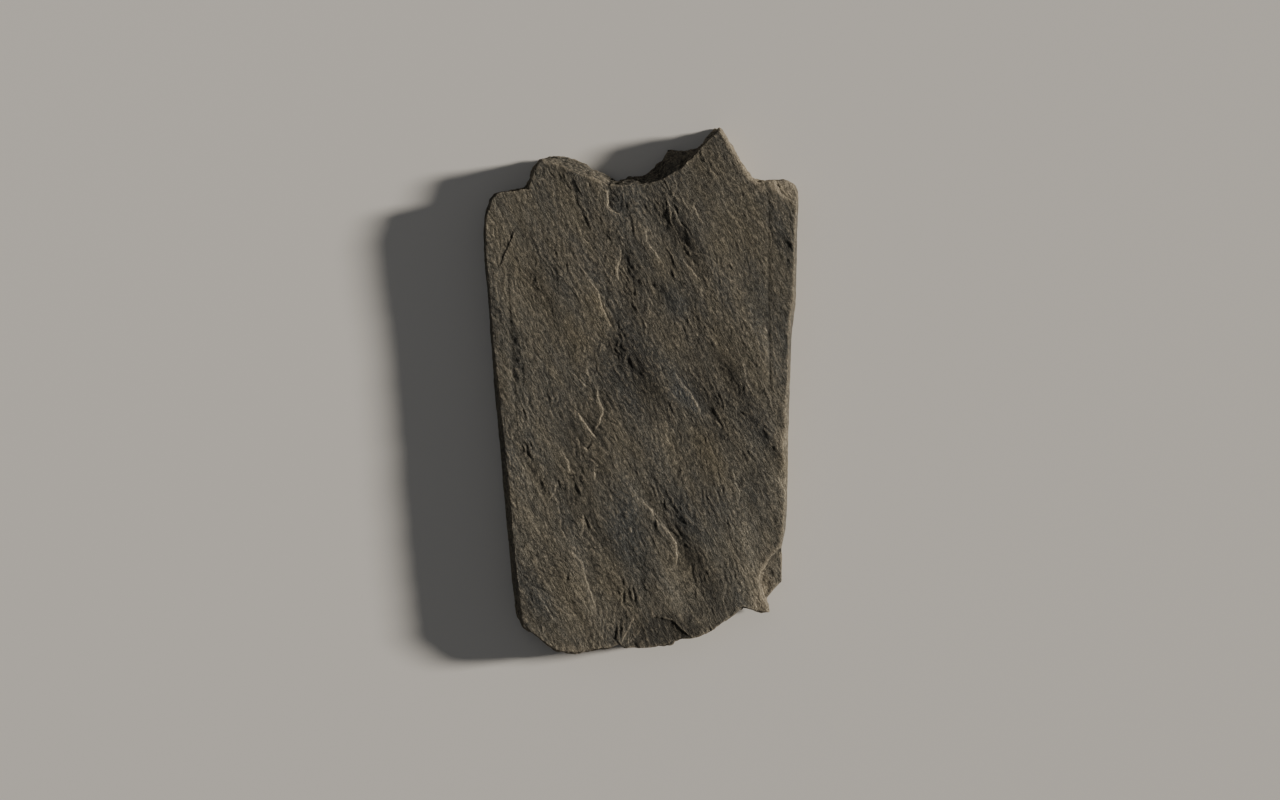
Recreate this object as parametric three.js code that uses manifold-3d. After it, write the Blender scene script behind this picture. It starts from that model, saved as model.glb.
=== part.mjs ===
// A broken stone stele: a split slab of schist, tapering to its foot, that lies on its back. Millimetres.
// +Z points out of the face and +Y to the head end. The origin is on the ground, under the slab's middle.
// Places on the slab are [across, along] in percent of its half width and half length. As the face is seen,
// the stone that a line takes away is on its right, so the edges run counter-clockwise round the slab.
import * as THREE from "three";
import { mergeVertices } from "three/addons/utils/BufferGeometryUtils.js";
import Module from "manifold-3d";

const wasm = await Module();
wasm.setup();

// The slab
const slabLength = 800;
const slabWidth = 478;
const slabThickness = 56;

// The split face rolls gently, and long hollows follow its grain
const grainAngle = -58;
const swellHeight = 1.1;
const swellLength = 230;
const hollowDepth = 2;
const faceCell = 12.5;

// How deep each kind of edge is worked or broken away, from the face down
const dressingDepth = 32;
const breakDepth = 41;
const neckDepth = 30;
const shoulderDepth = 20;
const footDepth = 30;
const cornerSpallDepth = 12;
const footSpallDepth = 1.6;
const chipDepth = 7;
const flakeDepth = 5;
const scarDepth = 1.8;
const backDepth = 12;

// The border line cut along each side of the face
const borderWidth = 5;
const borderDepth = 1.3;

// How far a cutter reaches past the stone, outward and upward
const overshoot = 70;
const skin = 8;

const cornerSteps = 5;

// The slab's outline, as four stretches between rounded or broken corners
const leftSide = [
  [-99.5, 60.9], [-98.9, 49.5], [-97.0, 38.1], [-94.6, 18.0], [-92.2, -2.1], [-89.3, -19.3],
  [-86.7, -38.1], [-84.5, -52.3], [-81.4, -71.0], [-77.8, -85.3],
];
const brokenFoot = [
  [-75.4, -88.7], [-68.2, -91.1], [-61.0, -94.7], [-53.8, -98.7], [-41.7, -99.8], [-29.7, -98.3],
  [-19.0, -97.6], [-12.9, -95.2], [-10.5, -96.6], [3.9, -96.9], [18.3, -95.4], [21.9, -93.6],
  [37.5, -93.0], [45.9, -90.4], [56.7, -85.4], [64.0, -81.8], [75.5, -83.5], [81.0, -83.2],
  [79.6, -78.2], [84.4, -74.6], [89.4, -71.8],
];
const rightSide = [
  [89.4, -58.8], [91.6, -52.3], [92.8, -42.3], [93.2, -27.9], [93.8, -13.6], [94.7, 3.6],
  [95.6, 20.8], [97.0, 26.4], [98.5, 35.2], [99.0, 52.4], [100, 72.9],
];
const rightShoulderCorner = [98.8, 78.9];
const rightShoulderTop = [[89.0, 79.6], [78.0, 79.6]];
const hornRoot = [70.5, 79.4];
const hornFlank = [[66.3, 84.0], [59.1, 91.9], [52.0, 98.8]];
const brokenNeck = [
  [47.6, 99.5], [42.4, 96.2], [37.5, 91.9], [27.9, 90.9], [17.3, 91.6], [13.5, 87.6], [8.7, 84.7],
  [2.7, 81.8], [-8.1, 81.4], [-14.1, 79.4], [-22.5, 81.8], [-29.8, 83.6], [-35.8, 86.1], [-44.2, 87.9],
  [-55.0, 88.7], [-63.8, 87.6],
];
const neckFlank = [[-67.5, 84.7], [-69.4, 81.9]];
const neckRoot = [-71.2, 76.9];
const leftShoulderTop = [[-77.0, 76.5], [-89.0, 75.2]];
const leftShoulderCorner = [-98.6, 73.6];

// Long hollows in the face: their centre, how long and wide they run in percent of the half length, and how
// deep in hollow depths
const hollows = [
  { at: [22, 57], runs: 28, spans: 6.5, deep: 1.1 },
  { at: [6, 17], runs: 48, spans: 14, deep: 1.0 },
  { at: [31, -2], runs: 28, spans: 7, deep: 0.9 },
  { at: [77, -6], runs: 33, spans: 8.5, deep: 0.9 },
  { at: [35, -63], runs: 35, spans: 8, deep: 1.2 },
  { at: [-22, -62], runs: 28, spans: 6, deep: 0.7 },
];

// Every worked or broken edge: the way out in degrees from +X, the depth, the slope in degrees of the floor
// below its wall, and its line on the face, each point with the wall's lean outward in percent of the depth
const edges = {
  "left side": {
    outward: 180,
    depth: dressingDepth,
    line: [
      [-93.8, 74.5, 9], [-95.1, 69.6, 9], [-97.6, 63.9, 9], [-97.3, 49.7, 12], [-95.4, 38.1, 12],
      [-92.6, 18.2, 16], [-89.1, -2.1, 23], [-85.7, -19.3, 28], [-82.8, -38.1, 28], [-81.0, -52.3, 28],
      [-77.5, -71.1, 28], [-75.0, -85.3, 23], [-72.5, -93.5, 23],
    ],
  },
  "left of the foot": {
    outward: -105,
    depth: footDepth,
    line: [
      [-80.6, -85.3, 13], [-73.7, -88.7, 15], [-66.2, -91.7, 17], [-58.1, -95.8, 17], [-52.4, -97.7, 17],
      [-41.1, -98.4, 17], [-29.8, -97.1, 17], [-19.1, -96.4, 17], [-12.5, -94.4, 13],
    ],
  },
  "foot spall": {
    outward: -90,
    depth: footSpallDepth,
    slope: 2,
    line: [
      [-13.2, -97.3, 70], [-12.4, -94.4, 80], [-9.5, -90.9, 90], [-5.2, -85.8, 80], [1.0, -84.7, 35],
      [7.8, -84.5, 30], [20.7, -86.2, 40], [25.0, -89.2, 60], [30.8, -91.8, 80], [36.6, -93.1, 80],
      [41.5, -94.5, 80],
    ],
  },
  "right of the foot": {
    outward: -75,
    depth: footDepth,
    line: [
      [35.0, -93.0, 10], [45.9, -89.8, 10], [56.7, -84.8, 10], [64.0, -81.1, 10], [72.5, -82.5, 10],
      [83.0, -84.0, 10],
    ],
  },
  "corner spall": {
    outward: -8,
    depth: cornerSpallDepth,
    slope: 4,
    line: [
      [81.0, -84.9, 31], [80.5, -81.5, 38], [76.2, -77.2, 46], [74.1, -72.0, 46], [75.5, -67.7, 46],
      [81.2, -62.5, 38], [89.9, -57.4, 31], [94.0, -47.3, 23],
    ],
  },
  "right flake": {
    outward: 5,
    depth: flakeDepth,
    slope: 12,
    line: [
      [94.2, -47.3, 60], [91.3, -38.4, 100], [86.0, -31.5, 200], [89.5, -28.5, 100], [94.5, -24.8, 80],
    ],
  },
  "right side": {
    outward: 0,
    depth: dressingDepth,
    line: [
      [88.2, -75.0, 12], [88.2, -59.5, 12], [90.1, -52.3, 14], [91.3, -42.2, 14], [91.6, -27.9, 14],
      [89.7, -20.8, 33], [91.6, -13.7, 16], [93.2, 3.6, 12], [93.8, 20.8, 14], [94.5, 26.4, 19],
      [96.7, 35.1, 14], [97.3, 52.7, 14], [98.5, 72.9, 11], [98.5, 79.0, 11],
    ],
  },
  "shoulder chip": {
    outward: 48,
    depth: chipDepth,
    slope: 24,
    line: [[101.5, 68.7, 64], [98.5, 69.9, 64], [88.4, 73.3, 64], [83.4, 78.6, 64], [82.0, 81.5, 64]],
  },
  "right shoulder": {
    outward: 90,
    depth: shoulderDepth,
    line: [[97.0, 79.0, 20], [86.4, 78.6, 20], [73.1, 78.4, 30]],
  },
  "horn flank": {
    outward: 25,
    depth: neckDepth,
    line: [
      [74.0, 78.7, 15], [70.0, 79.3, 15], [66.2, 82.2, 15], [58.1, 90.6, 15], [51.2, 97.3, 15],
      [46.2, 102.0, 15],
    ],
  },
  "horn break": {
    outward: 125,
    depth: breakDepth,
    line: [
      [52.4, 100.0, 15], [48.0, 97.3, 15], [39.2, 92.2, 22], [32.3, 87.9, 54], [24.8, 82.7, 93],
      [13.5, 79.3, 63], [2.2, 77.1, 51],
    ],
  },
  "neck break": {
    outward: 90,
    depth: breakDepth,
    line: [[2.8, 77.1, 46], [-6.6, 77.4, 37], [-14.1, 77.3, 22], [-21.0, 77.8, 34]],
  },
  "stub break": {
    outward: 68,
    depth: breakDepth,
    line: [
      [-19.6, 76.9, 32], [-26.7, 79.3, 37], [-38.6, 81.6, 49], [-51.8, 84.8, 37], [-62.4, 86.6, 15],
      [-67.5, 87.6, 10],
    ],
  },
  "neck flank": {
    outward: 152,
    depth: neckDepth,
    line: [[-60.3, 89.8, 20], [-61.8, 87.2, 20], [-66.2, 83.4, 20], [-68.7, 79.7, 20], [-70.9, 75.4, 20]],
  },
  "left shoulder": {
    outward: 98,
    depth: shoulderDepth,
    line: [[-70.1, 75.7, 15], [-90.1, 74.0, 15], [-95.7, 70.0, 15], [-100.5, 66.0, 15]],
  },
};

// The scars of flakes that came off the face: the way their floor rises back to it in degrees from +X, how
// far that reaches in percent of the half length, and the edge that they left, from its lower end up, each
// point with its depth in percent of the scar depth
const scars = {
  "neck scar": {
    outward: 20,
    reach: 8,
    line: [
      [-11.6, 64.7, 20], [-17.3, 67.3, 110], [-21.0, 69.6, 120], [-21.0, 74.8, 110], [-26.7, 79.5, 60],
    ],
  },
  "upper scar": {
    outward: 25,
    reach: 6,
    line: [
      [-17.3, 22.7, 15], [-19.8, 25.3, 70], [-24.2, 31.3, 90], [-26.7, 37.3, 90], [-35.5, 44.1, 15],
    ],
  },
  "middle scar": {
    outward: 35,
    reach: 5,
    line: [
      [-26.0, -20.0, 15], [-28.6, -17.8, 110], [-36.7, -10.7, 100], [-44.5, -4.2, 15],
    ],
  },
  "long scar": {
    outward: 30,
    reach: 10,
    line: [
      [22.3, -69.6, 15], [21.7, -65.8, 90], [22.9, -62.4, 100], [22.3, -57.2, 110], [16.6, -52.3, 110],
      [6.6, -44.4, 100], [-0.9, -40.3, 80], [-12.2, -32.4, 15],
    ],
  },
  "foot scar": {
    outward: 15,
    reach: 7,
    line: [
      [-26.7, -84.9, 15], [-31.1, -76.3, 90], [-34.8, -70.3, 110], [-36.7, -64.3, 100], [-42.0, -57.5, 15],
    ],
  },
};

// The lower arrises, broken back where the slab meets the ground
const backEdges = {
  "back of the left side": {
    outward: 180,
    depth: backDepth,
    line: [
      [-93.0, 76.0, 50], [-96.2, 60.0, 58], [-94.6, 40.0, 67], [-91.4, 15.0, 58], [-87.8, -12.0, 75],
      [-83.6, -38.0, 58], [-79.3, -64.0, 75], [-74.5, -86.0, 67], [-73.0, -92.0, 67],
    ],
  },
  "back of the foot": {
    outward: -90,
    depth: backDepth,
    line: [
      [-78.0, -85.0, 67], [-66.0, -89.8, 67], [-52.0, -95.6, 75], [-30.0, -95.8, 67], [-8.0, -94.0, 75],
      [18.0, -92.6, 67], [38.0, -90.4, 75], [58.0, -81.8, 75], [76.0, -76.8, 75], [92.0, -66.0, 67],
    ],
  },
  "back of the right side": {
    outward: 0,
    depth: backDepth,
    line: [
      [85.8, -72.0, 67], [88.0, -52.0, 75], [90.6, -26.0, 58], [91.4, 0.0, 67], [94.0, 26.0, 67],
      [96.2, 50.0, 58], [96.8, 72.0, 67], [95.0, 81.0, 67],
    ],
  },
};

const borderLines = [
  [[-77.3, -14.8], [-79.4, -0.5], [-80.8, 16.7], [-83.0, 36.3], [-84.4, 47.1]],
  [[80.6, -2.1], [80.5, 27.7], [80.5, 53.5], [79.8, 75.2]],
];

/** The place [across, along] on the slab, in millimetres. */
function place([across, along]) {
  return new THREE.Vector2((across / 100) * (slabWidth / 2), (along / 100) * (slabLength / 2));
}

/** The unit vector at an angle in degrees from +X. */
function heading(degrees) {
  const angle = THREE.MathUtils.degToRad(degrees);
  return new THREE.Vector2(Math.cos(angle), Math.sin(angle));
}

/** The height of the split face above the ground at x, y. */
function faceHeight(x, y) {
  const grain = heading(grainAngle);
  const along = x * grain.x + y * grain.y;
  const across = x * grain.y - y * grain.x;
  const turn = (2 * Math.PI) / swellLength;
  let height = slabThickness + swellHeight * (Math.sin(turn * across) + Math.cos(turn * (0.6 * along + x)));
  for (const { at, runs, spans, deep } of hollows) {
    const centre = place(at);
    const percent = slabLength / 2 / 100;
    const run = ((x - centre.x) * grain.x + (y - centre.y) * grain.y) / ((runs / 2) * percent);
    const side = ((x - centre.x) * grain.y - (y - centre.y) * grain.x) / ((spans / 2) * percent);
    height -= deep * hollowDepth * Math.exp(-run * run - side * side);
  }
  return height;
}

/** The slab's outline as a closed shape. */
function outline() {
  const shape = new THREE.Shape();
  const lineThrough = (points) => points.forEach((point) => shape.lineTo(...place(point)));
  const roundTo = (corner, end) => shape.quadraticCurveTo(...place(corner), ...place(end));
  shape.moveTo(...place(leftSide[0]));
  shape.splineThru(leftSide.slice(1).map(place));
  lineThrough(brokenFoot);
  shape.lineTo(...place(rightSide[0]));
  shape.splineThru(rightSide.slice(1).map(place));
  roundTo(rightShoulderCorner, rightShoulderTop[0]);
  lineThrough(rightShoulderTop);
  roundTo(hornRoot, hornFlank[0]);
  lineThrough(hornFlank);
  lineThrough(brokenNeck);
  lineThrough(neckFlank);
  roundTo(neckRoot, leftShoulderTop[0]);
  lineThrough(leftShoulderTop);
  roundTo(leftShoulderCorner, leftSide[0]);
  return shape;
}

/** A closed body through a row of sections, each a ring of as many points, with flat ends. */
function loft(sections) {
  const count = sections[0].length;
  const positions = sections.flat().flatMap((point) => point.toArray());
  const index = [];
  for (let i = 0; i < sections.length - 1; i++) {
    for (let k = 0; k < count; k++) {
      const a = i * count + k;
      const b = i * count + ((k + 1) % count);
      index.push(a, a + count, b, b, a + count, b + count);
    }
  }
  const last = (sections.length - 1) * count;
  for (let k = 1; k < count - 1; k++) {
    index.push(0, k, k + 1);
    index.push(last, last + k + 1, last + k);
  }
  const body = new THREE.BufferGeometry();
  body.setAttribute("position", new THREE.Float32BufferAttribute(positions, 3));
  body.setIndex(index);
  return body;
}

/** A three.js geometry as a manifold-3d solid. */
function solidOf(geometry) {
  const loose = geometry.index ? geometry.toNonIndexed() : geometry.clone();
  const bare = new THREE.BufferGeometry().setAttribute("position", loose.getAttribute("position"));
  const merged = mergeVertices(bare, 1e-3);
  return new wasm.Manifold(
    new wasm.Mesh({
      numProp: 3,
      vertProperties: merged.attributes.position.array,
      triVerts: new Uint32Array(merged.index.array),
    }),
  );
}

/** A manifold-3d solid as a three.js geometry. */
function geometryOf(solid) {
  const mesh = solid.getMesh();
  const geometry = new THREE.BufferGeometry();
  geometry.setAttribute("position", new THREE.Float32BufferAttribute(mesh.vertProperties, 3));
  geometry.setIndex(new THREE.BufferAttribute(mesh.triVerts, 1));
  return geometry;
}

/** The uncut slab: a block with the rolling face on top, cut to the outline. */
function blank() {
  const width = slabWidth + 2 * skin;
  const length = slabLength + 2 * skin;
  const columns = Math.round(width / faceCell);
  const rows = Math.round(length / faceCell);
  const block = new THREE.BoxGeometry(width, length, slabThickness + skin, columns, rows, 1);
  block.translate(0, 0, (slabThickness - skin) / 2);
  const points = block.getAttribute("position");
  for (let i = 0; i < points.count; i++) {
    if (points.getZ(i) > 0) points.setZ(i, faceHeight(points.getX(i), points.getY(i)));
  }
  const wall = new THREE.ExtrudeGeometry(outline(), {
    depth: slabThickness + 2 * skin,
    bevelEnabled: false,
    curveSegments: cornerSteps,
  });
  return solidOf(block).intersect(solidOf(wall));
}

/** What is taken off outside an edge's line: a leaning wall, then a floor that slopes away. */
function edgeCutter({ line, outward, depth, slope = 0 }) {
  const out = heading(outward);
  const drop = overshoot * Math.tan(THREE.MathUtils.degToRad(slope));
  const sections = line.map(([across, along, lean]) => {
    const foot = place([across, along]);
    const point = (run, z) => new THREE.Vector3(foot.x + run * out.x, foot.y + run * out.y, z);
    return [
      point(0, slabThickness + skin),
      point(0, slabThickness),
      point((lean / 100) * depth, slabThickness - depth),
      point(overshoot, slabThickness - depth - drop),
      point(overshoot, slabThickness + skin),
    ];
  });
  return loft(sections);
}

/** The same cutter, turned over to work on the lower arris. */
function backCutter(edge) {
  const body = edgeCutter(edge);
  body.applyMatrix4(new THREE.Matrix4().makeScale(1, 1, -1).setPosition(0, 0, slabThickness));
  const index = body.getIndex();
  for (let i = 0; i < index.count; i += 3) {
    const second = index.getX(i + 1);
    index.setX(i + 1, index.getX(i + 2));
    index.setX(i + 2, second);
  }
  return body;
}

/** What a flake took off the face: a steep edge, then a floor that rises back to the face. */
function scarCutter({ line, outward, reach }) {
  const out = heading(outward);
  const run = (reach / 100) * (slabLength / 2);
  const sections = line.map(([across, along, deep]) => {
    const foot = place([across, along]);
    const face = faceHeight(foot.x, foot.y);
    const depth = (deep / 100) * scarDepth;
    const end = new THREE.Vector2(foot.x + run * out.x, foot.y + run * out.y);
    const brink = faceHeight(end.x, end.y) + scarDepth / 4;
    return [
      new THREE.Vector3(foot.x, foot.y, face + skin),
      new THREE.Vector3(foot.x, foot.y, face),
      new THREE.Vector3(foot.x + depth * out.x, foot.y + depth * out.y, face - depth),
      new THREE.Vector3(end.x, end.y, brink),
      new THREE.Vector3(end.x, end.y, brink + skin),
    ];
  });
  return loft(sections);
}

/** A V-shaped groove that follows the face along a border line. */
function borderCutter(line) {
  const path = new THREE.CatmullRomCurve3(line.map((point) => new THREE.Vector3(...place(point), 0)));
  const steps = Math.round(path.getLength() / (2 * faceCell));
  const sections = [];
  for (let i = 0; i <= steps; i++) {
    const centre = path.getPointAt(i / steps);
    const ahead = path.getTangentAt(i / steps);
    const right = new THREE.Vector3(ahead.y, -ahead.x, 0);
    const face = faceHeight(centre.x, centre.y);
    // The cutter stands as far above the face as it goes below, so its top is twice as wide as the groove
    sections.push([
      centre.clone().setZ(face - borderDepth),
      centre.clone().addScaledVector(right, borderWidth).setZ(face + borderDepth),
      centre.clone().addScaledVector(right, -borderWidth).setZ(face + borderDepth),
    ]);
  }
  return loft(sections);
}

/** The slab's geometry, standing on the ground with the origin under its middle. */
function slabGeometry() {
  let slab = blank();
  for (const edge of Object.values(edges)) slab = slab.subtract(solidOf(edgeCutter(edge)));
  for (const edge of Object.values(backEdges)) slab = slab.subtract(solidOf(backCutter(edge)));
  for (const scar of Object.values(scars)) slab = slab.subtract(solidOf(scarCutter(scar)));
  for (const line of borderLines) slab = slab.subtract(solidOf(borderCutter(line)));
  const geometry = geometryOf(slab);
  geometry.computeBoundingBox();
  const { min, max } = geometry.boundingBox;
  geometry.translate(-(min.x + max.x) / 2, -(min.y + max.y) / 2, -min.z);
  geometry.computeVertexNormals();
  return geometry;
}

const schist = new THREE.MeshStandardMaterial({ color: 0x48423a, roughness: 0.92, metalness: 0 });

const stele = new THREE.Group();
const slab = new THREE.Mesh(slabGeometry(), schist);
slab.name = "stele_slab";
stele.add(slab);

export default stele;
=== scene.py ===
"""A broken stone stele: one slab of split schist, lying on its back and seen from straight above.

The slab's form comes from its solid. This script gives it the surface of the real stone: the plates and
ripples of the split face, the steps where flakes came away, the bedded, broken walls, and the colours of
schist, some of them painted highlight and painted shade. Lengths are in metres, written as millimetres
times MM. The folds, flake edges, cut lines and patches are listed in millimetres. X runs to the slab's
right, Y to its broken neck and Z out of its face.
"""

import logging
import math
from dataclasses import dataclass
from enum import Enum

import bmesh
import bpy
import numpy as np
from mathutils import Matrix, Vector


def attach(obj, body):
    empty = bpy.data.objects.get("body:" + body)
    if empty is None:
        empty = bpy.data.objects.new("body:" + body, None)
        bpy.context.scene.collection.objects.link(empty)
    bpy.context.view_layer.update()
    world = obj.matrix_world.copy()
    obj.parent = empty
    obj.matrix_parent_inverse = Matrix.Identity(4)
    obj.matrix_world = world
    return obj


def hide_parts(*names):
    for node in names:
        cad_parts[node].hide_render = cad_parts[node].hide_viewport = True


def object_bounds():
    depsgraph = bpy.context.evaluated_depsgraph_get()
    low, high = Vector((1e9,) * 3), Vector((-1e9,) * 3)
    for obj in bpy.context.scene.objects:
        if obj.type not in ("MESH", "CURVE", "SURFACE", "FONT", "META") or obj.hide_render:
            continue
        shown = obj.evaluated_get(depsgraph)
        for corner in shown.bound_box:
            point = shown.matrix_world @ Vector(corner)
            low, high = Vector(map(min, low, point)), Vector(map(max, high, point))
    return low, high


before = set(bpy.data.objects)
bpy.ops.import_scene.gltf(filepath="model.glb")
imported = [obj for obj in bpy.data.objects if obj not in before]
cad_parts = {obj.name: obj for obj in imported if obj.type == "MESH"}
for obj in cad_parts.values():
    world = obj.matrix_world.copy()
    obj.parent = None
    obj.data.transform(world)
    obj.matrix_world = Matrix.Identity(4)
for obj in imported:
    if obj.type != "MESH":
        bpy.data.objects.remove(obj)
cad_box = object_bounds()

log = logging.getLogger("stele")

MM = 0.001

Socket = bpy.types.NodeSocket
Patterns = dict[str, Socket]

# Times this, points keep X and Y alone, so that a relief is the same at every height.
LEVEL = np.array((1, 1, 0))


def linear(code: str) -> tuple[float, float, float, float]:
    """An sRGB hex colour as linear light.

    Args:
        code: The colour as "#rrggbb".

    Returns:
        Red, green, blue and an alpha of 1.
    """
    parts = [int(code[i : i + 2], 16) / 255 for i in (1, 3, 5)]
    light = [c / 12.92 if c <= 0.04045 else ((c + 0.055) / 1.055) ** 2.4 for c in parts]
    return (light[0], light[1], light[2], 1.0)


def ramp(values: np.ndarray, low: float, high: float) -> np.ndarray:
    """A smooth step from 0 at low to 1 at high.

    Args:
        values: What is looked at.
        low: Where the step starts.
        high: Where it ends, which may be below low.

    Returns:
        One number from 0 to 1 for each value.
    """
    part = np.clip((values - low) / (high - low), 0, 1)
    return part * part * (3 - 2 * part)


class StoneNoise:
    """Smooth seeded noise: a lattice of random slopes, blended between its corners."""

    LATTICE = 256

    def __init__(self, seed: int) -> None:
        """Draws the lattice.

        Args:
            seed: What sets this noise apart from another.
        """
        draw = np.random.default_rng(seed)
        slopes = draw.normal(size=(self.LATTICE, 3))
        self.slopes = slopes / np.linalg.norm(slopes, axis=1, keepdims=True)
        self.order = draw.permutation(self.LATTICE)

    def at(self, cells: np.ndarray) -> np.ndarray:
        """The noise at points that are given in lattice cells.

        Args:
            cells: A row of three numbers for each point.

        Returns:
            A number for each point, from about -0.7 to 0.7.
        """
        corner0 = np.floor(cells).astype(int)
        part = cells - corner0
        ease = part**3 * (part * (part * 6 - 15) + 10)
        total = np.zeros(len(cells))
        for corner in np.ndindex(2, 2, 2):
            i, j, k = ((corner0 + corner) % self.LATTICE).T
            place = (self.order[i] + j) % self.LATTICE
            place = (self.order[place] + k) % self.LATTICE
            slope = self.slopes[self.order[place]]
            weight = np.prod(np.where(corner, ease, 1 - ease), axis=1)
            total += weight * np.einsum("ij,ij->i", slope, part - corner)
        return total


@dataclass(frozen=True)
class Grain:
    """The grain of the schist: the way its ripples and plates run across the face."""

    turn: float = -63

    @property
    def angle(self) -> float:
        """The grain's direction in radians, from +X towards +Y."""
        return math.radians(self.turn)

    def cells(self, points: np.ndarray, along: float, across: float) -> np.ndarray:
        """Points measured in noise cells that are drawn out along the grain.

        Args:
            points: Points in metres.
            along: A cell's length with the grain.
            across: A cell's width and height.

        Returns:
            A row of three numbers for each point.
        """
        cos, sin = math.cos(self.angle), math.sin(self.angle)
        ahead = points[:, 0] * cos + points[:, 1] * sin
        side = points[:, 1] * cos - points[:, 0] * sin
        return np.stack((ahead / along, side / across, points[:, 2] / across), axis=1)


GRAIN = Grain()


@dataclass(frozen=True)
class Ripples:
    """Soft ripples of one size, drawn out along the grain."""

    seed: int
    along: float
    across: float
    height: float

    def relief(self, points: np.ndarray) -> np.ndarray:
        """How far the ripples stand out, in metres, at each point."""
        return 2 * self.height * StoneNoise(self.seed).at(GRAIN.cells(points, self.along, self.across))


@dataclass(frozen=True)
class Pebbles(Ripples):
    """Rounded bumps of one size with narrow dips between them, drawn out along the grain."""

    def relief(self, points: np.ndarray) -> np.ndarray:
        """How far the bumps stand out, in metres, at each point."""
        bumps = np.abs(StoneNoise(self.seed).at(GRAIN.cells(points, self.along, self.across)))
        return 2.5 * self.height * (np.minimum(bumps, 0.5) - 0.18)


@dataclass(frozen=True)
class Plates:
    """Thin plates that the split left standing, edge after edge across the grain.

    Each plate rises a little from one edge to the next and breaks off there. The edges face the right of
    the slab, or its left where step is negative, and fade out and in along their length.
    """

    seed: int
    spacing: float
    along: float
    across: float
    wander: float
    step: float
    edge: float = 0.12
    fade_along: float = 90 * MM
    fade_across: float = 45 * MM

    def relief(self, points: np.ndarray) -> np.ndarray:
        """How far the plates stand out.

        Args:
            points: Points in metres.

        Returns:
            A height in metres for each point.
        """
        noise = StoneNoise(self.seed).at(GRAIN.cells(points, self.along, self.across))
        side = GRAIN.cells(points, self.spacing, self.spacing)[:, 1]
        layer = (side if self.step > 0 else -side) + self.wander * noise
        part = layer - np.floor(layer)
        fading = StoneNoise(self.seed + 1).at(GRAIN.cells(points, self.fade_along, self.fade_across))
        strength = ramp(fading, -0.15, 0.3)
        return abs(self.step) * strength * (part - ramp(part, 1 - self.edge, 1) - 0.5)


@dataclass(frozen=True)
class Wander:
    """A sideways shift of the points, which makes a smooth edge ragged."""

    seed: int
    size: float
    reach: float

    def shifted(self, points: np.ndarray) -> np.ndarray:
        """Moves each point a little along X and Y.

        Args:
            points: Points in metres.

        Returns:
            The moved points.
        """
        cells = points / self.size
        moved = points.copy()
        moved[:, 0] += 2 * self.reach * StoneNoise(self.seed).at(cells)
        moved[:, 1] += 2 * self.reach * StoneNoise(self.seed + 1).at(cells)
        return moved


FACE_WANDERS = (
    Wander(seed=79, size=140 * MM, reach=12 * MM),
    Wander(seed=81, size=15 * MM, reach=2.4 * MM),
)
EDGE_WANDER = Wander(seed=83, size=8 * MM, reach=1.2 * MM)
CUT_WANDER = Wander(seed=79, size=60 * MM, reach=1.0 * MM)
PATCH_WANDER = Wander(seed=91, size=22 * MM, reach=7 * MM)


@dataclass(frozen=True)
class FlakeEdge:
    """The edge of a flake that came away from the face, as a line from the head end down, in millimetres.

    The face falls by `drop` to the right of the line, or to its left where drop is negative, and comes
    back to its level over `spread` on both sides.
    """

    line: tuple[tuple[float, float], ...]
    drop: float
    spread: float = 11.0
    crisp: float = 0.8
    # clear sets how strongly the riser is drawn: as a bump, and as a painted highlight line when drop is
    # positive and painted shade when it is negative.
    clear: float = 0.5

    # How far from its line, in millimetres, the finish still knows of a flake's edge.
    REACH = 12.0

    def reading(self, points: np.ndarray) -> tuple[np.ndarray, np.ndarray, np.ndarray, np.ndarray]:
        """Where the points lie beside the line.

        Args:
            points: Points in metres.

        Returns:
            The numbers of the points that are near enough to matter and, for each of those, its distance
            from the line, the side that it is on, and how much of the edge there is beside it.
        """
        path = np.array(self.line) * MM
        reach = 3 * self.spread * MM
        low, high = path.min(axis=0) - reach, path.max(axis=0) + reach
        near = np.flatnonzero(np.all((points[:, :2] > low) & (points[:, :2] < high), axis=1))
        spot = points[near, :2]
        lengths = np.linalg.norm(np.diff(path, axis=0), axis=1)
        best = np.full(len(near), np.inf)
        side = np.zeros(len(near))
        share = np.zeros(len(near))
        run = 0.0
        for start, end, length in zip(path[:-1], path[1:], lengths):
            ahead = (end - start) / length
            offset = spot - start
            t = np.clip(offset @ ahead, 0, length)
            away = offset - t[:, None] * ahead
            gap = np.linalg.norm(away, axis=1)
            nearer = gap < best
            best = np.where(nearer, gap, best)
            side = np.where(nearer, np.sign(offset[:, 1] * ahead[0] - offset[:, 0] * ahead[1]), side)
            share = np.where(nearer, (run + t) / lengths.sum(), share)
            run += length
        return near, best, side, ramp(share, 0.0, 0.18) * ramp(share, 1.0, 0.82)

    def relief(self, points: np.ndarray) -> np.ndarray:
        """How far the flake's edge lifts or lowers the face.

        Args:
            points: Points in metres.

        Returns:
            A height in metres for each point.
        """
        lifted = np.zeros(len(points))
        near, gap, side, fade = self.reading(points)
        shape = np.tanh(gap / (self.crisp * MM)) * np.exp(-gap / (self.spread * MM))
        lifted[near] = -0.5 * self.drop * MM * side * shape * fade
        return lifted

    @staticmethod
    def risers(points: np.ndarray) -> tuple[np.ndarray, np.ndarray]:
        """Where the points lie beside the nearest flake edge.

        Args:
            points: Points in metres.

        Returns:
            The distance to the right of the edge in millimetres, REACH at most, and how clear its
            riser is, from 0 to 1, or below 0 where it faces the left of the slab.
        """
        far = FlakeEdge.REACH
        gaps = np.full(len(points), far)
        clear = np.zeros(len(points))
        for edge in FLAKE_EDGES:
            near, gap, side, fade = edge.reading(points)
            closer = gap / MM < np.abs(gaps[near])
            near, gap, side, fade = near[closer], gap[closer], side[closer], fade[closer]
            gaps[near] = side * gap / MM
            clear[near] = math.copysign(edge.clear, edge.drop) * fade * ramp(gap, far * MM, far / 2 * MM)
        return gaps, clear


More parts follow.
